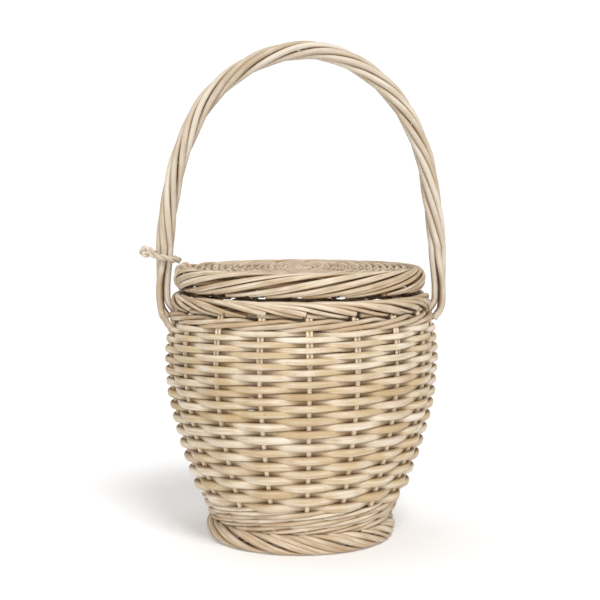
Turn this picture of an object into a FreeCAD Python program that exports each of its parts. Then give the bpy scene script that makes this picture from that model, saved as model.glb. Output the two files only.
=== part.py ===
import FreeCAD, Part
import math
import os

# A round lidded willow basket with a tall roped handle. Millimetres, +Z up.
# The origin is the middle of the ring that the basket stands on, and the handle lies in the XZ plane.

Vec = FreeCAD.Vector
UP = Vec(0, 0, 1)
GAP = 0.3                       # least room between rods that lie against each other
SMALL = 0.05                    # step for measuring a path's direction

# uprights
STAKES = 18
STAKE_STEP = 360 / STAKES
FIRST_STAKE = 13.4              # degrees from +X, so that the handle stands between stakes
STAKE_D = 4.2
STAKE_BOTTOM = 20.5
STAKE_TOP = 205.2
LINER_D = 2.4
LINER_BOTTOM = 166              # the thin liners beside each stake reach down to here

# wall
BELLY_R = 124.9                 # widest outside radius
BELLY_Z = 175
LOWER_CURVE = 0.0016            # how fast the wall draws in below and above the belly
UPPER_CURVE = 0.0075
WALL_Z = 40                     # where the plain weave starts
WALL_ROWS = 29
FIRST_PITCH = 6.7               # the rows get finer towards the rim
LAST_PITCH = 4.16
UPSET_Z = 20.6
UPSET_ROWS = 4
UPSET_PITCH = 4.85
TOP_WALE_ROWS = 2
TOP_WALE_PITCH = 4.1

# borders laid like a rope: ring radius, height, half width and half height of the section that
# the rods turn round, rod diameter, stakes passed by each rod, and the turn in degrees
RIM = dict(ring=110.4, z=213.6, half_r=4.7, half_z=5.5, rod=4.8, spans=4, turn=(235, -35))
FOOT = dict(ring=79.4, z=9.4, half_r=4.6, half_z=7.3, rod=5.0, spans=3, turn=(100, -130))
LID_EDGE = dict(ring=105.0, z=235.2, half_r=5.2, half_z=7.4, rod=5.2, spans=4, turn=(-75, 200))

# round woven discs: the base and the middle of the lid
BASE = dict(z=24.4, stick=3.6, weaver=3.6, inner=27, outer=67, reach=70.5)
LID = dict(z=239.6, stick=3.6, weaver=3.2, inner=27, outer=91.5, reach=96.4)
ACROSS = [(33.4, 153.4), (13.4, 173.4), (-6.6, 193.4), (-26.6, 213.4)]
ALONG = [(133.4, 233.4), (113.4, 253.4), (93.4, 273.4), (73.4, 293.4), (53.4, 313.4)]
CROSS_HALF = 13.5               # the sticks run side by side this far from the middle
CROSS_PITCH = 4.1
CROSS_LIFT = 2.05               # the two layers of the cross lie above and below the disc's plane
FAN_R = 24                      # the sticks have fanned out to their own angles by here

# handle
STRANDS = 6
STRAND_D = 5.2
CORE_D = 5.4
LAY_R = 5.6                     # strand centres about the core
LAY_LENGTH = 190                # one full turn of the rope
LEG_X = 123.2
ROPE_END_Z = 262                # below this the strands of each leg part into two rows
ARCH = [(-LEG_X, ROPE_END_Z), (-118, 305), (-107, 349.5), (-84.5, 393), (-42, 427), (8, 438),
        (50, 425), (86, 393.5), (108.5, 349.5), (118, 305), (LEG_X, ROPE_END_Z)]
SPREAD = (12, 22)               # below the rope's end the strands spread sideways over this height
PARTING = (13.5, 27)            # and part into an outer and an inner row over this one
FOOT_BEND = (38, 65)            # and the outer row leans in towards the wall over this one
OUTER_ROW_X = 128.0
OUTER_FOOT_X = 126.2
INNER_ROW_X = 121.3
ROW_PITCH = 5.6
OUTER_FOOT_Z = 197
INNER_FOOT_Z = 207.5
CORE_END_Z = 255

# willow tie between the left leg and the lid's edge
TIE_X = -123.5
TIE_Z = 253.4
TIE_D = 2.6
TIE_R = 11.3
TIE_TILT = 16                   # degrees; the ring hangs lower on the lid's side
WRAP_D = 2.4
WRAP_ROOM = 0.35                # room between the wrap and the lid's edge inside it
KNOT_R = 2.9
KNOT_CENTRE = Vec(-140.5, -1.5, 258)

os.makedirs("parts", exist_ok=True)


def outside_radius(z):
    curve = LOWER_CURVE if z < BELLY_Z else UPPER_CURVE
    return BELLY_R - curve * (z - BELLY_Z) ** 2


def mix(a, b, t):
    return a + (b - a) * t


def smooth(value, start=0, end=1):
    """0 before start, 1 after end, and a soft step between."""
    t = min(max((value - start) / (end - start), 0), 1)
    return t * t * (3 - 2 * t)


def stake_angle(k):
    return FIRST_STAKE + STAKE_STEP * k


def polar(radius, degrees, z):
    a = math.radians(degrees)
    return Vec(radius * math.cos(a), radius * math.sin(a), z)


def around(degrees):
    """Unit direction along a ring at this angle."""
    a = math.radians(degrees)
    return Vec(-math.sin(a), math.cos(a), 0)


# ---- rods: round sections swept along smooth chains of arcs ----

def two_arcs(p0, t0, p1, t1):
    """The two tangent arcs that join two points in these directions, as (start, direction, end)."""
    chord = p1 - p0
    along = chord.dot(t0 + t1)
    square = 2 * (1 - t0.dot(t1))
    if square < 1e-9:
        reach = chord.dot(chord) / (2 * along)
    else:
        reach = (math.sqrt(along * along + square * chord.dot(chord)) - along) / square
    q0 = p0 + t0 * reach
    q1 = p1 - t1 * reach
    joint = (q0 + q1) * 0.5
    return [(p0, t0, joint), (joint, Vec(q1 - q0).normalize(), p1)]


def sweep_arc(section, start, direction, end):
    """Sweep a circle along the arc that leaves start in this direction and meets end."""
    chord = end - start
    normal = direction.cross(chord)
    moved = section.copy()
    if normal.Length < 1e-6 * chord.Length:
        moved.translate(chord)
        return section.extrude(chord), moved, chord.Length
    angle = 2 * math.atan2(normal.Length, direction.dot(chord))
    normal.normalize()
    inward = normal.cross(direction)
    radius = chord.dot(chord) / (2 * inward.dot(chord))
    centre = start + inward * radius
    moved.rotate(centre, normal, math.degrees(angle))
    return section.revolve(centre, normal, math.degrees(angle)), moved, radius * angle


def rod(points, directions, diameter, closed=False):
    """A round rod through the points in these directions: cut square at its ends, or closed."""
    points = list(points)
    directions = list(directions)
    if closed:
        points.append(points[0])
        directions.append(directions[0])
    section = Part.Circle(points[0], directions[0], diameter / 2).toShape()
    faces = [] if closed else [Part.Face(Part.Wire(section))]
    length = 0
    for i in range(len(points) - 1):
        for piece in two_arcs(points[i], directions[i], points[i + 1], directions[i + 1]):
            face, section, run = sweep_arc(section, *piece)
            faces.append(face)
            length += run
    if not closed:
        faces.append(Part.Face(Part.Wire(section)))
    skin = Part.Compound(faces)
    skin.sewShape()
    solid = Part.Solid(skin.Shells[0])
    if solid.Volume < 0:
        solid.reverse()
    expected = length * math.pi * diameter ** 2 / 4
    if not solid.isValid() or abs(solid.Volume / expected - 1) > 1e-3:
        raise ValueError(f"bad rod: volume {solid.Volume:.1f}, expected {expected:.1f}")
    return solid


def rod_along(path, stops, diameter):
    """A rod along a path given as a function, through its points at these stops."""
    directions = [Vec(path(s + SMALL) - path(s - SMALL)).normalize() for s in stops]
    return rod([path(s) for s in stops], directions, diameter)


def stops_between(first, last, step):
    count = max(1, round(abs(last - first) / step))
    return [mix(first, last, i / count) for i in range(count + 1)]


def save(name, solids):
    shape = solids[0] if len(solids) == 1 else Part.makeCompound(solids)
    shape.exportStep(f"parts/{name}.step")


# ---- wall ----

def row_levels():
    """Height and pitch of each plain row, from the bottom up."""
    levels = []
    z = WALL_Z
    for i in range(WALL_ROWS):
        pitch = mix(FIRST_PITCH, LAST_PITCH, i / (WALL_ROWS - 1))
        levels.append((z + pitch / 2, pitch))
        z += pitch
    return levels


WALL_TOP = row_levels()[-1][0]


def lean(z):
    """How much wider a level cut through the sloping wall is than a square one."""
    curve = LOWER_CURVE if z < BELLY_Z else UPPER_CURVE
    return math.hypot(1, 2 * curve * (z - BELLY_Z))


def wall_line(z):
    """Radius of the stakes' centres: the outside less a weaver and half a stake."""
    if z < WALL_Z:
        weaver = mix(UPSET_PITCH, FIRST_PITCH, smooth(z, UPSET_Z, WALL_Z))
    else:
        weaver = mix(FIRST_PITCH, LAST_PITCH, min((z - WALL_Z) / (WALL_TOP - WALL_Z), 1))
    return outside_radius(z) - (weaver + STAKE_D / 2) * lean(z)


def weave_ring(z, weaver, is_outside):
    """A closed weaver that passes outside the stakes for which is_outside(k) holds, else inside."""
    offset = ((STAKE_D + weaver) / 2 + GAP) * lean(z)
    points = []
    for k in range(STAKES):
        side = 1 if is_outside(k) else -1
        points.append(polar(wall_line(z) + side * offset, stake_angle(k), z))
    return rod(points, [around(stake_angle(k)) for k in range(STAKES)], weaver, closed=True)


def siding(rows):
    levels = row_levels()
    return [weave_ring(levels[i][0], levels[i][1] - GAP, lambda k, i=i: (k + i) % 2 == 0)
            for i in rows]


def wale_row(z, weaver, shift):
    """A row that passes outside two stakes and inside the third."""
    return weave_ring(z, weaver, lambda k: (k + shift) % 3 != 0)


def upright(degrees, bottom, top, diameter, sideways=0):
    """A rod that follows the wall between two heights, moved sideways along the ring."""
    def path(z):
        return polar(wall_line(z), degrees, z) + around(degrees) * sideways
    return rod_along(path, stops_between(bottom, top, 8), diameter)


# ---- borders ----

def border_rod(start, size):
    """One rod of a border. It runs along the ring while it turns round the border's section."""
    def path(share):
        turn = math.radians(mix(size["turn"][0], size["turn"][1], share))
        radius = size["ring"] + size["half_r"] * math.cos(turn)
        height = size["z"] + size["half_z"] * math.sin(turn)
        return polar(radius, start + size["spans"] * STAKE_STEP * share, height)
    steps = size["spans"] * 3
    return rod_along(path, [i / steps for i in range(steps + 1)], size["rod"])


def border(size):
    return [border_rod(stake_angle(k), size) for k in range(STAKES)]


def worn_foot():
    """The foot border, with its underside worn flat on the ground plane."""
    reach = 2 * FOOT["ring"]
    ground = Part.makeBox(2 * reach, 2 * reach, reach, Vec(-reach, -reach, -reach))
    return [stick.cut(ground).Solids[0] for stick in border(FOOT)]


# ---- base and lid discs ----

def disc_stick(disc, ends, axis, offset, lift):
    """A stick across a disc: straight through the middle, then fanned out to its two ends."""
    forward = polar(1, axis, 0)
    middle = UP.cross(forward) * offset + UP * (disc["z"] + lift)
    points = [polar(disc["reach"], ends[1], disc["z"]), polar(FAN_R, ends[1], disc["z"]),
              middle - forward * CROSS_HALF, middle + forward * CROSS_HALF,
              polar(FAN_R, ends[0], disc["z"]), polar(disc["reach"], ends[0], disc["z"])]
    inward = polar(-1, ends[1], 0)
    outward = polar(1, ends[0], 0)
    return rod(points, [inward, inward, forward, forward, outward, outward], disc["stick"])


def disc_sticks(disc, pairs, axis, lift):
    half = (len(pairs) - 1) / 2
    return [disc_stick(disc, ends, axis, (half - i) * CROSS_PITCH, lift)
            for i, ends in enumerate(pairs)]


def disc_round(disc, radius, parity):
    """One round of weaving that passes over and under the sticks, with its ends butted."""
    offset = (disc["stick"] + disc["weaver"]) / 2 + GAP
    butt = math.degrees(GAP * 4 / radius)
    angles = [stake_angle(k) for k in range(STAKES)] + [stake_angle(STAKES) - butt]
    points = [polar(radius, a, disc["z"] + offset * (1 if (k + parity) % 2 else -1))
              for k, a in enumerate(angles)]
    return rod(points, [around(a) for a in angles], disc["weaver"])


def disc_weave(disc):
    pitch = disc["weaver"] + 1.2 * GAP
    rounds = int((disc["outer"] - disc["inner"]) / pitch) + 1
    return [disc_round(disc, disc["outer"] - i * pitch, i) for i in range(rounds)]


# ---- handle ----

def arch_curve():
    curve = Part.BSplineCurve()
    curve.interpolate(Points=[Vec(x, 0, z) for x, z in ARCH], InitialTangent=UP,
                      FinalTangent=UP * -1)
    return curve


ARCH_CURVE = arch_curve()
ARCH_LENGTH = ARCH_CURVE.length()
ROPE_TURN = 60 * round(ARCH_LENGTH / LAY_LENGTH * STRANDS)


def arch_point(s):
    """Point and outward normal of the handle's middle line at this distance from its left end."""
    u = ARCH_CURVE.parameterAtDistance(min(max(s, 0), ARCH_LENGTH), ARCH_CURVE.FirstParameter)
    forward = Vec(*ARCH_CURVE.tangent(u)[0])
    return ARCH_CURVE.value(u), Vec(-forward.z, 0, forward.x)


def row_place(phase):
    """Distance out from the basket and sideways of a strand in a leg, in two rows of 4 and 2."""
    turn = (phase + 180) % 360 - 180
    if abs(turn) < 120:
        sideways = ROW_PITCH * (1.5 if abs(turn) > 60 else 0.5)
        return OUTER_ROW_X, math.copysign(sideways, turn)
    return INNER_ROW_X, math.copysign(ROW_PITCH / 2, turn)


def strand_point(phase, s):
    """Middle of a strand at distance s along the handle; beyond the arch it runs down a leg."""
    below = max(-s, s - ARCH_LENGTH, 0)
    turned = phase + ROPE_TURN * min(max(s / ARCH_LENGTH, 0), 1)
    around_core = math.radians(turned)
    middle, outward = arch_point(s)
    out = LAY_R * math.cos(around_core)
    side = LAY_R * math.sin(around_core)
    if below == 0:
        return middle + outward * out + Vec(0, side, 0)
    row_x, row_y = row_place(turned)
    if row_x == OUTER_ROW_X:
        row_x = mix(OUTER_ROW_X, OUTER_FOOT_X, smooth(below, *FOOT_BEND))
    x = mix(LEG_X + out, row_x, smooth(below, *PARTING))
    y = mix(side, row_y, smooth(below, *SPREAD))
    return Vec(math.copysign(x, s), y, ROPE_END_Z - below)


def strand(number):
    """A handle strand from the foot of one leg to the foot of the other."""
    phase = 30 + 360 / STRANDS * number
    ends = []
    for turned in (phase, phase + ROPE_TURN):
        foot_z = OUTER_FOOT_Z if row_place(turned)[0] == OUTER_ROW_X else INNER_FOOT_Z
        ends.append(ROPE_END_Z - foot_z)
    parted = PARTING[1]
    stops = stops_between(-ends[0], -parted, 9)
    stops += stops_between(-parted, 0, 3.4)[1:]
    stops += stops_between(0, ARCH_LENGTH, 9)[1:]
    stops += stops_between(ARCH_LENGTH, ARCH_LENGTH + parted, 3.4)[1:]
    stops += stops_between(ARCH_LENGTH + parted, ARCH_LENGTH + ends[1], 9)[1:]
    return rod_along(lambda s: strand_point(phase, s), stops, STRAND_D)


def core():
    def path(s):
        drop = UP * max(-s, s - ARCH_LENGTH, 0)
        return arch_point(s)[0] - drop
    reach = ROPE_END_Z - CORE_END_Z
    stops = [-reach] + stops_between(0, ARCH_LENGTH, 16) + [ARCH_LENGTH + reach]
    return rod_along(path, stops, CORE_D)


# ---- tie ----

def tie_ring():
    tilted = Vec(math.sin(math.radians(TIE_TILT)), 0, math.cos(math.radians(TIE_TILT)))
    return Part.makeTorus(TIE_R, TIE_D / 2, Vec(TIE_X, 0, TIE_Z), tilted)


def tie_knot():
    return Part.makeTorus(KNOT_R, TIE_D / 2, KNOT_CENTRE, Vec(0, 1, 0))


def tie_wrap():
    """The loop of the tie that goes round the lid's edge."""
    room = LID_EDGE["rod"] / 2 + WRAP_ROOM + WRAP_D / 2
    half_x = LID_EDGE["half_r"] + room
    half_z = LID_EDGE["half_z"] + room
    points = []
    directions = []
    for i in range(12):
        a = math.radians(30 * i)
        points.append(Vec(half_x * math.cos(a) - LID_EDGE["ring"], 0,
                          half_z * math.sin(a) + LID_EDGE["z"]))
        directions.append(Vec(-half_x * math.sin(a), 0, half_z * math.cos(a)).normalize())
    return rod(points, directions, WRAP_D, closed=True)


# ---- all pieces ----

save("base_sticks_across", disc_sticks(BASE, ACROSS, 3.4, -CROSS_LIFT))
save("base_sticks_along", disc_sticks(BASE, ALONG, 93.4, CROSS_LIFT))
save("base_weave", disc_weave(BASE))
save("foot_border", worn_foot())

for k in range(STAKES):
    save(f"stake_{k + 1:02d}", [upright(stake_angle(k), STAKE_BOTTOM, STAKE_TOP, STAKE_D)])
beside = (STAKE_D + LINER_D) / 2 + GAP
save("border_liners", [upright(stake_angle(k), LINER_BOTTOM, STAKE_TOP, LINER_D, side * beside)
                       for k in range(STAKES) for side in (-1, 1)])

for i in range(UPSET_ROWS):
    level = UPSET_Z + UPSET_PITCH * (i + 0.5)
    save(f"upset_wale_{i + 1}", [wale_row(level, UPSET_PITCH - GAP, i)])
save("siding_lower", siding(range(0, 10)))
save("siding_middle", siding(range(10, 20)))
save("siding_upper", siding(range(20, WALL_ROWS)))
for i in range(TOP_WALE_ROWS):
    level = WALL_TOP + LAST_PITCH / 2 + TOP_WALE_PITCH * (i + 0.5)
    save(f"top_wale_{i + 1}", [wale_row(level, TOP_WALE_PITCH - GAP, i)])
save("rim_border", border(RIM))

save("handle_core", [core()])
for i in range(STRANDS):
    save(f"handle_strand_{i + 1}", [strand(i)])

save("lid_sticks_across", disc_sticks(LID, ACROSS, 3.4, -CROSS_LIFT))
save("lid_sticks_along", disc_sticks(LID, ALONG, 93.4, CROSS_LIFT))
save("lid_weave", disc_weave(LID))
save("lid_border", border(LID_EDGE))

save("tie_ring", [tie_ring()])
save("tie_knot", [tie_knot()])
save("tie_wrap", [tie_wrap()])
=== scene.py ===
import bpy
import math
import numpy as np
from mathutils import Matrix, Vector


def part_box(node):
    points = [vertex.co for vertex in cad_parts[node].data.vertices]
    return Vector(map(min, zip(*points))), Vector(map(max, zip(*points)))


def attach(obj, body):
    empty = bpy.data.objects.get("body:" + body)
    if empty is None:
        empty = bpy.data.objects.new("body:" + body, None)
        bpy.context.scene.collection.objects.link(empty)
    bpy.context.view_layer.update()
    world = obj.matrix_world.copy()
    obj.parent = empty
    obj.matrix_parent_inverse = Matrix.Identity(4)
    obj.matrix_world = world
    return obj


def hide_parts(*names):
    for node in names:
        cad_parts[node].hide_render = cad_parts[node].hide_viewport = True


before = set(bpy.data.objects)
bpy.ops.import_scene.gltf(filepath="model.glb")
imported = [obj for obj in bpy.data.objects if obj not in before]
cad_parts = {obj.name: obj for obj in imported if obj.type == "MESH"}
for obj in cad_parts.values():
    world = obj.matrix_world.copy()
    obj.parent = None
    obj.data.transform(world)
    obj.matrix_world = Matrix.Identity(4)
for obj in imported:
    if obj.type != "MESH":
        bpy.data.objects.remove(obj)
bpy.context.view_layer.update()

# A round lidded willow basket: every rod of the weave is its own swept shape. Metres, +Z up.

rng = np.random.default_rng(11)
MM = 0.001
SIDES = 12                       # faces round a rod

# ---- the frame's own measures ----

STAKE_NODES = sorted(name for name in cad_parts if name.startswith("stake_"))
STAKES = len(STAKE_NODES)
STEP = 2 * math.pi / STAKES
SIDING_NODES = ["siding_lower", "siding_middle", "siding_upper"]


def node_points(name):
    """The corners of a CAD node, as rows of x, y, z."""
    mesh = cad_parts[name].data
    flat = np.zeros(len(mesh.vertices) * 3)
    mesh.vertices.foreach_get("co", flat)
    return flat.reshape(-1, 3)


def middle_angle(name):
    """The angle about +Z at which a CAD node lies."""
    centre = node_points(name).mean(axis=0)
    return math.atan2(centre[1], centre[0])


FIRST_STAKE = middle_angle(STAKE_NODES[0])
first_stake_points = node_points(STAKE_NODES[0])
first_stake_radii = np.hypot(first_stake_points[:, 0], first_stake_points[:, 1])
WALL_CURVE = np.polyfit(first_stake_points[:, 2], first_stake_radii, 4)
WALL_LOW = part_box(SIDING_NODES[0])[0].z
WALL_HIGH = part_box(SIDING_NODES[2])[1].z
FOOT_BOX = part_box("foot_border")
RIM_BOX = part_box("rim_border")
LID_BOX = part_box("lid_border")
CORE_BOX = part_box("handle_core")
RING_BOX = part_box("tie_ring")
WRAP_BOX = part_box("tie_wrap")
KNOT_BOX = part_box("tie_knot")

# ---- driving sizes of the weave ----

STAKE_R = 2.15 * MM
STAKE_TOP_R = 1.4 * MM           # the uprights get thinner between these two heights
THINNING = (150 * MM, 180 * MM)
LINER_R = 1.3 * MM
LINER_APART = 1.7 * MM           # from the upright's middle to the rod beside it
LINER_OUT = 1.5 * MM

ROWS = 29
ROWS_OF_NODES = (range(0, 10), range(10, 20), range(20, ROWS))
FIRST_PITCH = 6.7 * MM
LAST_PITCH = 4.16 * MM
ROW_TAIL = 0.34                  # how far a row's rod runs past its last upright, in spans
ROW_SAMPLE = 0.055               # in spans
STRAIGHTNESS = 0.93              # nearer 1 makes a rod straighter between two uprights
PRESSED_IN = 1.3 * MM            # how far a rod presses on the upright
ROW_OUT = 0.7 * MM
ROW_SLANT = 0.42 * MM

WALE_RODS = 3
WALE_SAMPLE = 0.06
WALE_PRESSED_IN = 0.5 * MM
UPSET_RADIUS = 1.75 * MM
UPSET_CLIMB = 7.6 * MM
TOP_RADIUS = 1.9 * MM
TOP_CLIMB = 8 * MM

DISC_STICK_R = 1.9 * MM
CROSS_HALF = 12 * MM             # the disc's sticks are straight this far from the middle
FAN_START = 24 * MM              # and point at their uprights from here
WEAVE_PRESS = 0.94               # rounds lie a little closer than their thickness

STRAND_R = 2.75 * MM
LAY_R = 5.6 * MM
LAY_LENGTH = 190 * MM
STRANDS = 6
FIRST_STRAND = 30                # degrees round the rope

TIE_PLIES = 2
HOOP_R = 4.0 * MM                # the hoop inside the lid's border


def wall_radius(z):
    """The radius of the wall's middle at a height, as the CAD uprights have it."""
    return np.polyval(WALL_CURVE, z)


def mix(a, b, t):
    """From a to b as t goes from 0 to 1."""
    return a + (b - a) * t


def smooth(value, start=0.0, end=1.0):
    """0 before start and 1 after end, with an easy change between them."""
    t = np.clip((value - start) / (end - start), 0, 1)
    return t * t * (3 - 2 * t)


def polar(radius, angle, z):
    """Points from radii, angles in radians and heights."""
    radius, angle, z = np.broadcast_arrays(radius, angle, z)
    return np.stack([radius * np.cos(angle), radius * np.sin(angle), z], axis=-1)


def unit(v):
    """Vectors of length 1 with the directions of the rows of v."""
    return v / np.linalg.norm(v, axis=-1, keepdims=True)


def wander(count, step, size):
    """A slow random wave of about this size, with a new direction every few samples."""
    knots = rng.normal(0, size, int(count / step) + 3)
    return np.interp(np.arange(count) / step, np.arange(len(knots)), knots)


def carried_normals(path):
    """Normals that follow a path without twisting."""
    tangents = unit(np.gradient(path, axis=0))
    normals = np.empty_like(path)
    side = np.cross(tangents[0], [0.3, 0.2, 1.0])
    for i, t in enumerate(tangents):
        side = side - t * side.dot(t)
        side = side / np.linalg.norm(side)
        normals[i] = side
    return normals


# ---- rods ----

class Rods:
    """Willow rods gathered into one mesh, with the facts that the willow material reads."""

    def __init__(self):
        self.points = []
        self.grain = []
        self.tone = []
        self.cut = []
        self.painted_shade = []
        self.quads = []
        self.tris = []
        self.count = 0

    def add(self, path, wide, deep=None, normals=None, ends=(0.0, 0.0), hidden=None, sides=SIDES,
            flat=1.0):
        """Sweep an oval section along a path. wide lies along the normals, deep across them.

        ends gives, for each end, how long it tapers before it is cut; 0 leaves it blunt.
        hidden turns the angles round the section into how much painted shade each place gets, as it
        lies in a crevice.
        flat below 1 flattens the section's sides, as rods that are pressed together have.
        """
        path = np.asarray(path, float)
        n = len(path)
        wide = np.broadcast_to(wide, n).astype(float).copy()
        deep = wide.copy() if deep is None else np.broadcast_to(deep, n).astype(float).copy()
        tangents = unit(np.gradient(path, axis=0))
        if normals is None:
            normals = carried_normals(path)
        normals = unit(normals - tangents * np.sum(normals * tangents, axis=1, keepdims=True))
        across = np.cross(tangents, normals)
        steps = np.linalg.norm(np.diff(path, axis=0), axis=1)
        along = np.concatenate([[0], np.cumsum(steps)])
        for taper, distance in zip(ends, (along, along[-1] - along)):
            if taper:
                wide *= mix(0.45, 1, smooth(distance, 0, taper))
                deep *= mix(0.45, 1, smooth(distance, 0, taper))
        turn = np.arange(sides) * 2 * math.pi / sides
        x = np.sign(np.cos(turn)) * np.abs(np.cos(turn)) ** flat
        y = np.sign(np.sin(turn)) * np.abs(np.sin(turn)) ** flat
        ring = (normals[:, None, :] * (wide[:, None] * x)[..., None]
                + across[:, None, :] * (deep[:, None] * y)[..., None])
        shift = rng.uniform(-1.5, 1.5, 3)
        grain = np.stack(np.broadcast_arrays(wide.mean() * np.cos(turn)[None, :] + shift[0],
                                             deep.mean() * np.sin(turn)[None, :] + shift[1],
                                             along[:, None] + shift[2]), axis=-1)
        self.points.append((path[:, None, :] + ring).reshape(-1, 3))
        self.grain.append(grain.reshape(-1, 3))
        self.cut.append(np.zeros(n * sides))
        # painted shade for each place round the section, none unless hidden is given
        shade = np.zeros((n, sides)) if hidden is None else hidden(turn[None, :])
        self.painted_shade.append(np.broadcast_to(shade, (n, sides)).ravel())
        i = np.arange(n - 1)[:, None] * sides
        j = np.arange(sides)[None, :]
        k = (j + 1) % sides
        quads = np.stack([i + j, i + k, i + sides + k, i + sides + j], axis=-1).reshape(-1, 4)
        self.quads.append(quads + self.count)
        self._cap(path[0], -tangents[0], ring[0], grain[0], self.count, True)
        last = self.count + (n - 1) * sides
        total = self.count + n * sides + sides + 1
        self._cap(path[-1], tangents[-1], ring[-1], grain[-1], last, False, total)
        total += sides + 1
        # the chamfers and faces of cut ends get a fixed amount of painted shade
        self.painted_shade.append(np.full(total - self.count - n * sides, 0.4))
        self.tone.append(np.tile(rng.normal(0, 1, 3), (total - self.count, 1)))
        self.count = total

    def _cap(self, centre, outward, ring, grain, rim, flip, first=None):
        """A cut end: a narrow chamfer and a flat face."""
        sides = len(ring)
        if first is None:
            first = self.count + len(self.cut[-1])
        size = np.linalg.norm(ring, axis=1).mean()
        inner = centre + ring * 0.84 + outward * size * 0.16
        self.points.append(np.vstack([inner, centre + outward * size * 0.17]))
        self.grain.append(np.vstack([grain, grain.mean(axis=0)]))
        self.cut.append(np.concatenate([np.full(sides, 0.6), [1.0]]))
        j = np.arange(sides)
        k = (j + 1) % sides
        quads = np.stack([rim + j, first + j, first + k, rim + k], axis=-1)
        tris = np.stack([first + j, np.full(sides, first + sides), first + k], axis=-1)
        self.quads.append(quads if flip else quads[:, ::-1])
        self.tris.append(tris if flip else tris[:, ::-1])

    def piece(self, name, body, material, *nodes):
        """Make the mesh object, and say what it rides on and which CAD nodes it stands for."""
        mesh = bpy.data.meshes.new(name)
        points = np.vstack(self.points)
        quads = np.vstack(self.quads)
        tris = np.vstack(self.tris)
        loops = np.concatenate([quads.ravel(), tris.ravel()]).astype(np.int32)
        starts = np.concatenate([np.arange(len(quads)) * 4,
                                 len(quads) * 4 + np.arange(len(tris)) * 3]).astype(np.int32)
        mesh.vertices.add(len(points))
        mesh.vertices.foreach_set("co", points.ravel())
        mesh.loops.add(len(loops))
        mesh.loops.foreach_set("vertex_index", loops)
        mesh.polygons.add(len(starts))
        mesh.polygons.foreach_set("loop_start", starts)
        mesh.polygons.foreach_set("use_smooth", np.ones(len(starts), bool))
        for key, values in (("grain", np.vstack(self.grain)), ("tone", np.vstack(self.tone))):
            layer = mesh.attributes.new(key, "FLOAT_VECTOR", "POINT")
            layer.data.foreach_set("vector", values.ravel())
        for key, values in (("cut", self.cut), ("painted_shade", self.painted_shade)):
            layer = mesh.attributes.new(key, "FLOAT", "POINT")
            layer.data.foreach_set("value", np.concatenate(values))
        mesh.update(calc_edges=True)
        mesh.validate()
        mesh.materials.append(material)
        thing = bpy.data.objects.new(name, mesh)
        bpy.context.scene.collection.objects.link(thing)
        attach(thing, body)
        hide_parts(*nodes)
        return thing


# ---- willow ----

SHADE_BROWN = (0.26, 0.14, 0.05)      # painted shade: the dark brown that crevices are blended towards
FIBRES_PER_METRE = 1500
BANDS_PER_METRE = 420
CHANGES_PER_METRE = 34
MARKS_PER_METRE = 210


def in_siding(swing):
    """Painted shade for the wall's crevices: where rows press on each other, and on the side behind
    an upright.
    """
    def shade(turn):
        pressed = smooth(np.abs(np.sin(turn)), 0.75, 1.0)
        behind = (1 - np.cos(turn) * swing[:, None]) / 2
        return np.clip(0.8 * pressed + 0.65 * smooth(behind, 0.5, 0.95), 0, 0.9)
    return shade


def in_bundle(turn):
    """Painted shade for a bundle's crevices: the sides that touch other rods, and all that faces
    its middle.
    """
    return 0.85 * smooth(-np.cos(turn), -0.45, 0.25)


def in_hoop(turn):
    """Painted shade: the hoop is painted dark all round, as it lies in shade behind the rods laid
    about it.
    """
    return np.full(turn.shape, 0.8)


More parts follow.
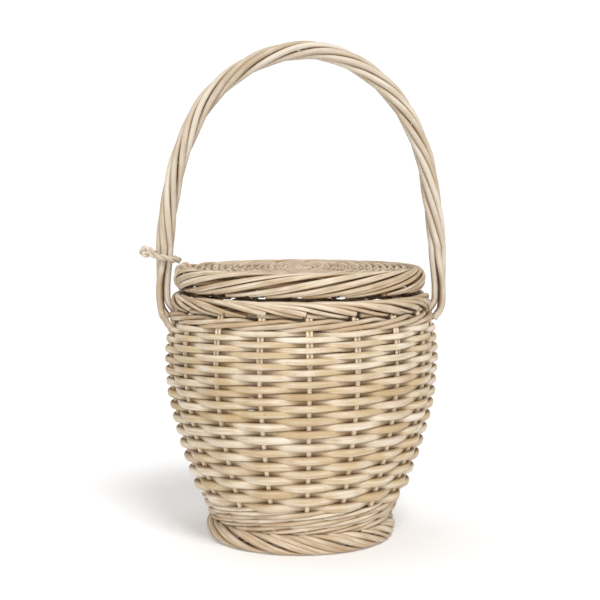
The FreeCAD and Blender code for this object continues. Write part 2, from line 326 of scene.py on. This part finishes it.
def willow(name, pale, middle, brown, speck=0.5, streak=0.5, rough=0.5):
    """Peeled willow: long fibres, slow changes of tone along a rod, specks and bud marks."""
    material = bpy.data.materials.new(name)
    material.use_nodes = True
    nodes = material.node_tree.nodes
    links = material.node_tree.links
    shader = nodes["Principled BSDF"]
    shader.inputs["Specular IOR Level"].default_value = 0.42
    shader.inputs["Coat Weight"].default_value = 0.06
    shader.inputs["Coat Roughness"].default_value = 0.35

    def attribute(key):
        node = nodes.new("ShaderNodeAttribute")
        node.attribute_name = key
        return node

    def stretched(scale):
        node = nodes.new("ShaderNodeVectorMath")
        node.operation = "MULTIPLY"
        node.inputs[1].default_value = scale
        links.new(grain.outputs["Vector"], node.inputs[0])
        return node.outputs[0]

    def noise(vector, scale, detail=2.0, roughness=0.5):
        node = nodes.new("ShaderNodeTexNoise")
        node.inputs["Scale"].default_value = scale
        node.inputs["Detail"].default_value = detail
        node.inputs["Roughness"].default_value = roughness
        links.new(vector, node.inputs["Vector"])
        return node.outputs["Fac"]

    def spread(value, low, high, start=0.0, end=1.0):
        node = nodes.new("ShaderNodeMapRange")
        node.inputs["From Min"].default_value = low
        node.inputs["From Max"].default_value = high
        node.inputs["To Min"].default_value = start
        node.inputs["To Max"].default_value = end
        links.new(value, node.inputs["Value"])
        return node.outputs["Result"]

    def maths(operation, a, b):
        node = nodes.new("ShaderNodeMath")
        node.operation = operation
        for socket, value in zip(node.inputs, (a, b)):
            if isinstance(value, (int, float)):
                socket.default_value = value
            else:
                links.new(value, socket)
        return node.outputs[0]

    def blend(factor, a, b):
        node = nodes.new("ShaderNodeMix")
        node.data_type = "RGBA"
        links.new(factor, node.inputs["Factor"])
        for socket, value in ((node.inputs[6], a), (node.inputs[7], b)):
            if isinstance(value, tuple):
                socket.default_value = (*value, 1)
            else:
                links.new(value, socket)
        return node.outputs[2]

    grain = attribute("grain")
    tone = nodes.new("ShaderNodeSeparateXYZ")
    links.new(attribute("tone").outputs["Vector"], tone.inputs[0])
    fibres = noise(stretched((1, 1, 0.02)), FIBRES_PER_METRE, 2, 0.55)
    bands = noise(stretched((1, 1, 0.12)), BANDS_PER_METRE, 2)
    slow = noise(stretched((0.2, 0.2, 1)), CHANGES_PER_METRE, 2)
    depth = maths("ADD", maths("MULTIPLY", spread(slow, 0.34, 0.66), 0.45),
                  maths("MULTIPLY", spread(bands, 0.36, 0.64), 0.42 * streak))
    depth = maths("ADD", depth, maths("MULTIPLY", spread(fibres, 0.35, 0.65), 0.36 * streak))
    depth = maths("ADD", depth, maths("MULTIPLY", tone.outputs["X"], 0.16))
    colour = blend(spread(depth, 0.2, 1.0), pale, middle)
    warm = spread(maths("ADD", tone.outputs["Y"], maths("MULTIPLY", slow, 2.0)), 1.0, 3.6)
    colour = blend(maths("MULTIPLY", warm, 0.5), colour, brown)
    marks = nodes.new("ShaderNodeTexVoronoi")
    marks.inputs["Scale"].default_value = MARKS_PER_METRE
    links.new(stretched((1, 1, 0.45)), marks.inputs["Vector"])
    spots = maths("MULTIPLY", spread(marks.outputs["Distance"], 0.16, 0.05),
                  spread(noise(stretched((1, 1, 0.5)), 90), 0.56, 0.62))
    colour = blend(maths("MULTIPLY", spots, speck), colour, tuple(c * 0.42 for c in brown))
    ends = attribute("cut").outputs["Fac"]
    colour = blend(maths("MULTIPLY", ends, 0.55), colour, tuple(c * 0.8 for c in middle))
    # painted shade: crevices are blended towards a dark brown, a little unevenly along the rod
    painted_crevice_shade = maths("MULTIPLY", attribute("painted_shade").outputs["Fac"], spread(slow, 0.2, 0.8, 0.75, 1))
    colour = blend(painted_crevice_shade, colour, SHADE_BROWN)
    links.new(colour, shader.inputs["Base Color"])
    links.new(spread(bands, 0.3, 0.7, rough - 0.08, rough + 0.12), shader.inputs["Roughness"])
    bump = nodes.new("ShaderNodeBump")
    bump.inputs["Strength"].default_value = 0.4
    bump.inputs["Distance"].default_value = 0.25 * MM
    links.new(maths("ADD", fibres, maths("MULTIPLY", bands, 1.2)), bump.inputs["Height"])
    links.new(bump.outputs["Normal"], shader.inputs["Normal"])
    return material


WALL = willow("willow_wall", (0.79, 0.70, 0.57), (0.56, 0.42, 0.24), (0.40, 0.24, 0.10),
              streak=1.1)
BORDER = willow("willow_border", (0.74, 0.64, 0.50), (0.50, 0.36, 0.22), (0.35, 0.22, 0.10),
                streak=1.1)
HANDLE = willow("willow_handle", (0.69, 0.62, 0.51), (0.50, 0.39, 0.27), (0.38, 0.25, 0.14),
                speck=0.3, streak=0.9, rough=0.44)
LID_WOOD = willow("willow_lid", (0.66, 0.55, 0.43), (0.42, 0.30, 0.21), (0.28, 0.16, 0.09),
                  streak=0.9)
STICK = willow("willow_stick", (0.90, 0.77, 0.58), (0.70, 0.54, 0.34), (0.45, 0.28, 0.14),
               speck=0.3)


# ---- wall ----

def stake_phase(k):
    """The angle of upright k."""
    return FIRST_STAKE + STEP * k


def row_levels():
    """The height and the pitch of each row, scaled to fill the CAD siding."""
    levels = []
    z = WALL_LOW
    for i in range(ROWS):
        pitch = mix(FIRST_PITCH, LAST_PITCH, i / (ROWS - 1))
        levels.append((z + pitch / 2, pitch))
        z += pitch
    stretch = (WALL_HIGH - WALL_LOW) / (z - WALL_LOW)
    return [(WALL_LOW + (level - WALL_LOW) * stretch, pitch * stretch) for level, pitch in levels]


def siding_row(rods, index, level, pitch):
    """One row of plain weave. It is made of two rods whose ends meet inside the wall."""
    start = rng.integers(0, STAKES)
    start += (start + index + 1) % 2
    first_length = 2 * rng.integers(3, 7)
    for begin, spans in ((start, first_length), (start + first_length, STAKES - first_length)):
        places = np.arange(begin - ROW_TAIL, begin + spans + ROW_TAIL, ROW_SAMPLE)
        n = len(places)
        swing = np.cos(math.pi * (places + index))
        swing = np.arcsin(STRAIGHTNESS * swing) / math.asin(STRAIGHTNESS)
        outside = (1 + swing) / 2
        size = 1 + wander(n, 36, 0.035)
        height = pitch * size * (0.60 + 0.05 * swing)
        depth = pitch * size * mix(0.42, 0.46, outside)
        reach = STAKE_R + depth - PRESSED_IN
        z = level + wander(n, 18, 0.16 * MM) + ROW_SLANT * np.sin(math.pi * (places + index))
        radius = wall_radius(z) + ROW_OUT + reach * swing * (1 + wander(n, 30, 0.02))
        angles = FIRST_STAKE + STEP * places
        path = polar(radius, angles, z)
        slope = (wall_radius(level + MM) - wall_radius(level - MM)) / (2 * MM)
        normals = polar(1.0, angles, -slope)
        rods.add(path, depth, height, normals, hidden=in_siding(swing), flat=0.8)


def siding():
    """The rows of plain weave, gathered by the CAD node that they stand for."""
    levels = row_levels()
    for node, rows in zip(SIDING_NODES, ROWS_OF_NODES):
        rods = Rods()
        for i in rows:
            siding_row(rods, i, *levels[i])
        rods.piece(f"woven_{node}", "basket", WALL, node)


def stakes():
    """The uprights, each its own piece."""
    for k, node in enumerate(STAKE_NODES):
        low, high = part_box(node)
        z = np.arange(low.z - 6 * MM, high.z + 3 * MM, 3 * MM)
        drift = wander(len(z), 12, 0.0016)
        thin = smooth(z, *THINNING)
        path = polar(wall_radius(z) + (0.9 - 1.4 * thin) * MM, stake_phase(k) + drift, z)
        rods = Rods()
        rods.add(path, mix(STAKE_R, STAKE_TOP_R, thin) * (1 + wander(len(z), 9, 0.03)))
        rods.piece(f"upright_{node[-2:]}", "basket", STICK, node)


def liners():
    """A thin rod on each side of every upright, in the top rows."""
    low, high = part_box("border_liners")
    rods = Rods()
    for k in range(STAKES):
        for side in (-1, 1):
            bottom = low.z + rng.uniform(-10, 8) * MM
            z = np.arange(bottom, high.z + 4 * MM, 2.5 * MM)
            apart = LINER_APART * side / wall_radius(z)
            angles = stake_phase(k) + apart + wander(len(z), 8, 0.001)
            path = polar(wall_radius(z) + LINER_OUT, angles, z)
            rods.add(path, LINER_R * rng.uniform(0.9, 1.1), ends=(12 * MM, 0))
    rods.piece("border_liner_rods", "basket", STICK, "border_liners")


def wale(rods, level, climb, radius, shift):
    """One round of waling: each rod rises outside two uprights, then drops inside the third.

    step is the place in a rod's stroke of three spans, swing how far out it lies there, and
    rise how high, both as shares.
    """
    for j in range(WALE_RODS):
        places = np.arange(shift + j - 0.4, shift + j + STAKES + 0.9, WALE_SAMPLE)
        n = len(places)
        step = (places - j + 0.75) % WALE_RODS - 0.75
        swing = np.interp(step, [-0.75, -0.35, 0.5, 1.35, 2, 2.25],
                          [-0.6, 0.6, 1.15, 0.6, -1, -0.6])
        rise = np.interp(step, [-0.75, -0.5, 1.5, 2.25], [-0.36, -0.5, 0.5, -0.36])
        r = radius * (1 + wander(n, 30, 0.05)) * rng.uniform(0.92, 1.08)
        z = level + climb * rise + wander(n, 20, 0.15 * MM)
        angles = FIRST_STAKE + STEP * places
        path = polar(wall_radius(z) + (STAKE_R + r - WALE_PRESSED_IN) * swing, angles, z)
        rods.add(soften(path), r, r * 1.08, polar(1.0, angles, 0.0), hidden=in_siding(swing))


def soften(path):
    """Round off a path's corners."""
    for _ in range(4):
        path[1:-1] = (path[:-2] + 2 * path[1:-1] + path[2:]) / 4
    return path


def wales():
    """Three rounds above the foot, and one under the rim."""
    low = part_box("upset_wale_1")[0].z
    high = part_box("upset_wale_4")[1].z
    third = (high - low + 3 * MM) / 3
    rounds = ((1, ("upset_wale_1", "upset_wale_2")), (2, ("upset_wale_3",)),
              (3, ("upset_wale_4",)))
    for i, nodes in rounds:
        rods = Rods()
        wale(rods, low - 2.5 * MM + third * (i - 0.5), UPSET_CLIMB, UPSET_RADIUS, 5 * i)
        rods.piece(f"upset_wale_round_{i}", "basket", BORDER, *nodes)
    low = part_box("top_wale_1")[0].z
    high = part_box("top_wale_2")[1].z
    rods = Rods()
    wale(rods, (low + high) / 2 + 0.6 * MM, TOP_CLIMB, TOP_RADIUS, 2)
    rods.piece("top_wale_round", "basket", BORDER, "top_wale_1", "top_wale_2")


# ---- borders ----

def laid_border(rods, ring, level, half_r, half_z, spans, turns, pair):
    """Rods laid round a ring like a rope, in pairs that turn round the section as they go.

    ring and level place the middle of the section, and half_r and half_z are its half sizes.
    A rod runs on for so many spans and passes the turns, in degrees from outwards to up.
    pair gives the radius of each rod, and how many degrees it lags.
    """
    for k in range(STAKES):
        for number, (radius, lag) in enumerate(pair):
            size = radius * rng.uniform(0.88, 1.1)
            start = rng.uniform(-0.16, 0.16) - 0.2 * number
            share = np.linspace(0, 1, int(spans * 16))
            stops = np.linspace(0, 1, len(turns))
            turn = np.radians(np.interp(share, stops, turns) + lag + rng.uniform(-7, 7))
            along = stake_phase(k) + STEP * (spans * share + start)
            r = ring + (half_r - size) * np.cos(turn)
            z = level + (half_z - size) * np.sin(turn)
            path = soften(polar(r, along, z))
            out = polar(np.cos(turn), along, np.sin(turn))
            rods.add(path, size * (1 + wander(len(share), 12, 0.03)), normals=out,
                     hidden=in_bundle)


def borders():
    """The laid borders of the rim, the foot and the lid."""
    low = RIM_BOX[0].z + 0.6 * MM
    high = RIM_BOX[1].z + 0.6 * MM
    rods = Rods()
    laid_border(rods, RIM_BOX[1].x - 6.8 * MM, (low + high) / 2, 7.0 * MM, (high - low) / 2, 4,
                (300, 205, 110, 60, -36), ((2.45 * MM, 0), (1.5 * MM, -34)))
    rods.piece("rim_border_rods", "basket", BORDER, "rim_border")

    height = FOOT_BOX[1].z
    rods = Rods()
    laid_border(rods, FOOT_BOX[1].x - 7.3 * MM, height / 2, 7.3 * MM, height / 2, 3, (110, -130),
                ((2.75 * MM, 0), (2.0 * MM, -34)))
    rods.piece("foot_border_rods", "basket", BORDER, "foot_border")

    low = LID_BOX[0].z - 1.8 * MM
    high = LID_BOX[1].z + 0.3 * MM
    rods = Rods()
    ring = LID_BOX[1].x - 8.0 * MM
    laid_border(rods, ring, (low + high) / 2, 7.9 * MM, (high - low) / 2, 6, (-85, 195),
                ((2.0 * MM, 0), (1.35 * MM, 26)))
    hoop = polar(ring, np.linspace(0, 2 * math.pi, 181), (low + high) / 2)
    # the hoop is painted dark all round: painted shade
    rods.add(hoop, HOOP_R, hidden=in_hoop)
    rods.piece("lid_border_rods", "lid", BORDER, "lid_border")


# ---- base and lid discs ----

def disc_stick(rods, level, reach, ends, offset, lift, radius):
    """A stick that crosses the disc: straight in the middle, fanned out to its two ends.

    ends holds the angles of its two ends, offset and lift place its straight part.
    """
    axis = (ends[0] + ends[1] - math.pi) / 2
    forward = polar(1.0, axis, 0.0)
    side = np.cross([0, 0, 1], forward) * offset + np.array([0, 0, level + lift])
    knots = np.array([polar(reach, ends[1], level), polar(reach * 0.6, ends[1], level),
                      polar(FAN_START, ends[1], level), side - forward * CROSS_HALF,
                      side + forward * CROSS_HALF, polar(FAN_START, ends[0], level),
                      polar(reach * 0.6, ends[0], level), polar(reach, ends[0], level)])
    rods.add(spline(knots, 90), radius * rng.uniform(0.94, 1.06))


def spline(knots, count):
    """A smooth path through the knots, evenly spaced in its parameter."""
    knots = np.asarray(knots, float)
    gaps = np.linalg.norm(np.diff(knots, axis=0), axis=1) ** 0.5
    at = np.concatenate([[0], np.cumsum(gaps)])
    slopes = np.gradient(knots, at, axis=0)
    t = np.linspace(0, at[-1], count)
    i = np.clip(np.searchsorted(at, t) - 1, 0, len(at) - 2)
    width = (at[i + 1] - at[i])[:, None]
    u = ((t - at[i]) / width[:, 0])[:, None]
    a, b = knots[i], knots[i + 1]
    m, n = slopes[i] * width, slopes[i + 1] * width
    return ((2 * u ** 3 - 3 * u ** 2 + 1) * a + (u ** 3 - 2 * u ** 2 + u) * m
            + (3 * u ** 2 - 2 * u ** 3) * b + (u ** 3 - u ** 2) * n)


def disc(body, across_node, along_node, weave_node, material, weaver_r, inner, raised=0, spare=0):
    """A round woven disc: a cross of sticks and rounds of fine rods, each over and under.

    inner is the smallest round's radius. raised lifts the disc, and spare widens it.
    """
    low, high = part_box(weave_node)
    level = (low.z + high.z) / 2 + raised
    reach = max(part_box(across_node)[1].x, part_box(along_node)[1].y) + 3 * MM
    outer = high.x - weaver_r + spare
    for node, count, first, last, lift in ((across_node, 4, 1, 7, -DISC_STICK_R),
                                           (along_node, 5, 6, 11, DISC_STICK_R)):
        rods = Rods()
        for i in range(count):
            ends = (stake_phase(first - i), stake_phase(last + i))
            offset = ((count - 1) / 2 - i) * 2.1 * DISC_STICK_R
            disc_stick(rods, level, reach, ends, offset, lift, DISC_STICK_R)
        rods.piece(f"{node}_rods", body, STICK, node)
    rods = Rods()
    pitch = 2 * weaver_r * WEAVE_PRESS
    rounds = int((outer - inner) / pitch) + 1
    for i in range(rounds):
        radius = outer - i * pitch
        places = np.arange(i * 1.3, i * 1.3 + STAKES + 0.45, 0.06 if radius > 0.05 else 0.09)
        n = len(places)
        swing = np.cos(math.pi * (places + i))
        r = weaver_r * (1 + wander(n, 30, 0.04))
        z = level + (DISC_STICK_R + r) * swing * 0.92
        path = polar(radius + wander(n, 16, 0.12 * MM), FIRST_STAKE + STEP * places, z)
        rods.add(path, r * 0.96, r * 1.1, np.tile([0.0, 0, 1], (n, 1)), hidden=in_siding(swing))
    rods.piece(f"{weave_node}_rods", body, material, weave_node)


# ---- handle ----

CORE_R = 2.7 * MM
LEG_X = CORE_BOX[1].x - CORE_R
CROWN_Z = CORE_BOX[1].z - CORE_R
ROPE_END_Z = 262 * MM            # below this height the strands part
# The handle's middle line, from -1 to 1 across the legs and 0 to 1 from the rope's end up.
ARCH = [(-1.0, 0.0), (-0.958, 0.244), (-0.868, 0.497), (-0.686, 0.744), (-0.341, 0.9375),
        (0.065, 1.0), (0.406, 0.926), (0.698, 0.747), (0.881, 0.497), (0.958, 0.244), (1.0, 0.0)]


def arch_path(step):
    """The handle's middle line, with its outward normals and distances."""
    knots = [(x * LEG_X, 0, mix(ROPE_END_Z, CROWN_Z, z)) for x, z in ARCH]
    knots = [(-LEG_X, 0, ROPE_END_Z - 30 * MM)] + knots + [(LEG_X, 0, ROPE_END_Z - 30 * MM)]
    fine = spline(knots, 1200)
    inside = fine[:, 2] >= ROPE_END_Z
    fine = fine[inside]
    along = np.concatenate([[0], np.cumsum(np.linalg.norm(np.diff(fine, axis=0), axis=1))])
    count = int(along[-1] / step)
    s = np.linspace(0, along[-1], count)
    path = np.stack([np.interp(s, along, fine[:, i]) for i in range(3)], axis=-1)
    forward = unit(np.gradient(path, axis=0))
    outward = np.stack([-forward[:, 2], np.zeros(count), forward[:, 0]], axis=-1)
    return path, outward, s


# In a leg the strands lie in two rows: their distances from the middle, level with the rim and
# at the foot, the height of the foot, and the pitch along a row.
OUTER_ROW = 127.8 * MM
OUTER_FOOT = 125.8 * MM
OUTER_FOOT_Z = 196 * MM
INNER_ROW = 121.4 * MM
INNER_FOOT = 120.5 * MM
INNER_FOOT_Z = 203 * MM
ROW_PITCH = 5.3 * MM
LEG_SAMPLE = 2 * MM
TAIL_COUNT = 18                  # points in a tucked tail
BENT = TAIL_COUNT + 10           # points that are softened where it leaves the leg


def row_place(degrees):
    """The row that a strand joins, as whether it is the outer one, and its place along it."""
    turn = (degrees + 180) % 360 - 180
    if abs(turn) < 120:
        return True, math.copysign(ROW_PITCH * (1.5 if abs(turn) > 60 else 0.5), turn)
    return False, math.copysign(ROW_PITCH / 2, turn)


def leg_path(sign, degrees):
    """A strand of a leg from the rope's end down to where it is tucked into the wall."""
    outer, row_y = row_place(degrees)
    foot_z = OUTER_FOOT_Z if outer else INNER_FOOT_Z
    z = np.arange(ROPE_END_Z - LEG_SAMPLE, foot_z, -LEG_SAMPLE)
    below = ROPE_END_Z - z
    turn = math.radians(degrees)
    row_x = OUTER_ROW if outer else INNER_ROW
    foot_x = OUTER_FOOT if outer else INNER_FOOT
    row_x = mix(row_x, foot_x, smooth(below, 44 * MM, 66 * MM))
    x = mix(LEG_X + LAY_R * math.cos(turn), row_x, smooth(below, 0, 38 * MM))
    tucked = outer and abs(row_y) > ROW_PITCH and row_y * sign > 0
    if not tucked:
        x = x - 6 * MM * smooth(foot_z + 15 * MM - z, 0, 16 * MM) ** 1.5
    gather = mix(1.0, 0.72, smooth(below, 40 * MM, 66 * MM))
    y = mix(LAY_R * math.sin(turn), row_y * gather, smooth(below, 2 * MM, 26 * MM))
    path = np.stack([x * sign, y, z], axis=-1)
    if tucked:
        path = np.vstack([path, tucked_tail(path[-1])])
        for _ in range(4):
            path[-BENT:] = soften(path[-BENT:])
    return path


def tucked_tail(start):
    """The end of a handle strand, bent along the wall and pushed in between two rods."""
    share = np.linspace(0.05, 1, TAIL_COUNT)
    angle = math.atan2(start[1], start[0]) + math.radians(17) * share
    z = start[2] + 3 * MM * (1 - share) - 8 * MM * share
    radius = mix(math.hypot(start[0], start[1]), wall_radius(z) + 6.6 * MM, smooth(share, 0, 0.4))
    return polar(radius - 7 * MM * smooth(share, 0.65, 1), angle, z)


def strand_normals(strand, middle):
    """The directions from the handle's middle line out to a strand."""
    low = middle[[0, -1]] - [0, 0, 0.1]
    middle = np.vstack([low[:1], middle, low[1:]])
    away = np.empty_like(strand)
    for i, point in enumerate(strand):
        starts = middle[:-1]
        steps = np.diff(middle, axis=0)
        share = np.clip(np.sum((point - starts) * steps, axis=1) / np.sum(steps ** 2, axis=1), 0, 1)
        nearest = starts + steps * share[:, None]
        away[i] = point - nearest[np.argmin(np.sum((nearest - point) ** 2, axis=1))]
    return unit(away)


def in_strand(turn):
    """Painted shade for the crevices between the strands of the handle."""
    return 0.7 * smooth(-np.cos(turn), -0.4, 0.25)


def handle():
    """Six strands laid round the arch like a rope, each running down into the wall."""
    path, outward, s = arch_path(3 * MM)
    turned = 60 * round(s[-1] / LAY_LENGTH * STRANDS)
    for i in range(STRANDS):
        phase = FIRST_STRAND + 360 / STRANDS * i
        turn = np.radians(phase + turned * s / s[-1]) + wander(len(s), 20, 0.05)
        turn[0] = math.radians(phase)
        turn[-1] = math.radians(phase + turned)
        reach = LAY_R * (1 + wander(len(s), 18, 0.03))
        rope = path + outward * (reach * np.cos(turn))[:, None]
        rope[:, 1] += reach * np.sin(turn)
        left = leg_path(-1, phase)[::-1]
        right = leg_path(1, phase + turned)
        whole = np.vstack([left, rope, right])
        rods = Rods()
        size = STRAND_R * (1 + wander(len(whole), 25, 0.03))
        rods.add(whole, size, normals=strand_normals(whole, path), hidden=in_strand, sides=16)
        nodes = [f"handle_strand_{i + 1}"] + (["handle_core"] if i == 0 else [])
        rods.piece(f"handle_rod_{i + 1}", "basket", HANDLE, *nodes)


# ---- tie ----

def twisted(rods, path, lay_r, radius, turns):
    """Thin rods twisted round a path, at this distance from it."""
    normals = carried_normals(path)
    across = np.cross(unit(np.gradient(path, axis=0)), normals)
    share = np.linspace(0, 1, len(path))
    for i in range(TIE_PLIES):
        turn = 2 * math.pi * (turns * share + i / TIE_PLIES)
        ply = path + (normals * np.cos(turn)[:, None] + across * np.sin(turn)[:, None]) * lay_r
        rods.add(ply, radius)


def tie():
    """The ring round the leg, the loop round the lid's border, and the knot."""
    centre = (RING_BOX[0] + RING_BOX[1]) / 2
    reach = (RING_BOX[1].y - RING_BOX[0].y) / 2 + 0.1 * MM
    drop = (RING_BOX[1].z - RING_BOX[0].z) / 2 - 1.3 * MM
    a = np.linspace(math.pi - 0.3, 3 * math.pi + 0.3, 150)
    ring = np.stack([centre.x + reach * np.cos(a), centre.y + reach * np.sin(a),
                     centre.z - drop * np.cos(a)], axis=-1)
    rods = Rods()
    twisted(rods, ring, 1.45 * MM, 1.55 * MM, 4.5)
    rods.piece("tie_ring_rods", "tie", HANDLE, "tie_ring")

    centre = (WRAP_BOX[0] + WRAP_BOX[1]) / 2
    half_x = (WRAP_BOX[1].x - WRAP_BOX[0].x) / 2 - 2.4 * MM
    half_z = (WRAP_BOX[1].z - WRAP_BOX[0].z) / 2 - 1.2 * MM
    a = np.linspace(0, 2 * math.pi, 120)
    wrap = np.stack([centre.x + half_x * np.cos(a), 1.3 * MM * np.sin(a / 2) - 4 * MM,
                     centre.z + half_z * np.sin(a)], axis=-1)
    rods = Rods()
    twisted(rods, wrap, 1.1 * MM, 1.25 * MM, 3)
    rods.piece("tie_wrap_rods", "lid", HANDLE, "tie_wrap")

    low, high = KNOT_BOX
    knot = spline([(high.x + 2 * MM, 0, high.z - 5 * MM),
                   (high.x - 2 * MM, -1 * MM, high.z - 2 * MM),
                   (low.x + 2.4 * MM, -1.5 * MM, high.z - 1.6 * MM),
                   (low.x + 1.4 * MM, -1.5 * MM, low.z + 4 * MM),
                   (low.x + 3.6 * MM, -1.5 * MM, low.z + 1.8 * MM),
                   (high.x - 1 * MM, -2 * MM, low.z + 3 * MM)], 60)
    rods = Rods()
    twisted(rods, knot, 1.5 * MM, 1.6 * MM, 2)
    rods.piece("tie_knot_rods", "tie", HANDLE, "tie_knot")


# ---- studio ----

def studio():
    """A white room: the world lights softly and looks white, and three far lights shape it."""
    scene = bpy.context.scene
    scene.view_settings.view_transform = "Standard"
    world = bpy.data.worlds.new("studio_white")
    scene.world = world
    world.use_nodes = True
    nodes = world.node_tree.nodes
    links = world.node_tree.links
    lit = nodes["Background"]
    lit.inputs["Color"].default_value = (1, 0.985, 0.96, 1)
    lit.inputs["Strength"].default_value = 0.42
    seen = nodes.new("ShaderNodeBackground")
    seen.inputs["Color"].default_value = (1, 1, 1, 1)
    seen.inputs["Strength"].default_value = 1.1
    ray = nodes.new("ShaderNodeLightPath")
    join = nodes.new("ShaderNodeMixShader")
    links.new(ray.outputs["Is Camera Ray"], join.inputs[0])
    links.new(lit.outputs[0], join.inputs[1])
    links.new(seen.outputs[0], join.inputs[2])
    links.new(join.outputs[0], nodes["World Output"].inputs["Surface"])

    bpy.ops.mesh.primitive_plane_add(size=40, location=(0, 0, 0))
    floor = bpy.context.object
    floor.name = "floor"
    material = bpy.data.materials.new("studio_floor")
    material.use_nodes = True
    shader = material.node_tree.nodes["Principled BSDF"]
    shader.inputs["Base Color"].default_value = (0.9, 0.9, 0.91, 1)
    shader.inputs["Roughness"].default_value = 0.9
    shader.inputs["Emission Color"].default_value = (1, 1, 1, 1)
    shader.inputs["Emission Strength"].default_value = 0.12
    floor.data.materials.append(material)

    soft_sun("key", (0.25, -0.7, 0.9), 20, 1.7)
    soft_sun("front", (-0.1, -1.0, 0.3), 30, 0.75)
    soft_sun("overhead", (-0.2, 0.1, 1.0), 40, 0.6)


def soft_sun(name, place, spread, power):
    """A large far light: it lights the floor evenly, and its shadows have soft edges."""
    light = bpy.data.lights.new(name, "SUN")
    light.angle = math.radians(spread)
    light.energy = power
    lamp = bpy.data.objects.new(name, light)
    lamp.location = place
    lamp.rotation_euler = (-Vector(place)).to_track_quat("-Z", "Y").to_euler()
    bpy.context.scene.collection.objects.link(lamp)


CAMERA_LENS = 80.4
CAMERA_PLACE = (-0.9 * MM, -1.2116, 0.3178)
CAMERA_DOWN = 4.89               # degrees below level


def camera():
    """The viewing angle: from the front, a little above the lid, and tilted down to the middle."""
    data = bpy.data.cameras.new("camera")
    data.lens = CAMERA_LENS
    data.sensor_width = 36
    thing = bpy.data.objects.new("camera", data)
    thing.location = CAMERA_PLACE
    thing.rotation_euler = (math.radians(90 - CAMERA_DOWN), 0, 0)
    bpy.context.scene.collection.objects.link(thing)
    bpy.context.scene.camera = thing


camera()
studio()
siding()
stakes()
liners()
wales()
borders()
disc("basket", "base_sticks_across", "base_sticks_along", "base_weave", WALL, 1.9 * MM, 20 * MM)
disc("lid", "lid_sticks_across", "lid_sticks_along", "lid_weave", LID_WOOD, 1.7 * MM, 18 * MM,
     raised=0.5 * MM, spare=4.5 * MM)
handle()
tie()
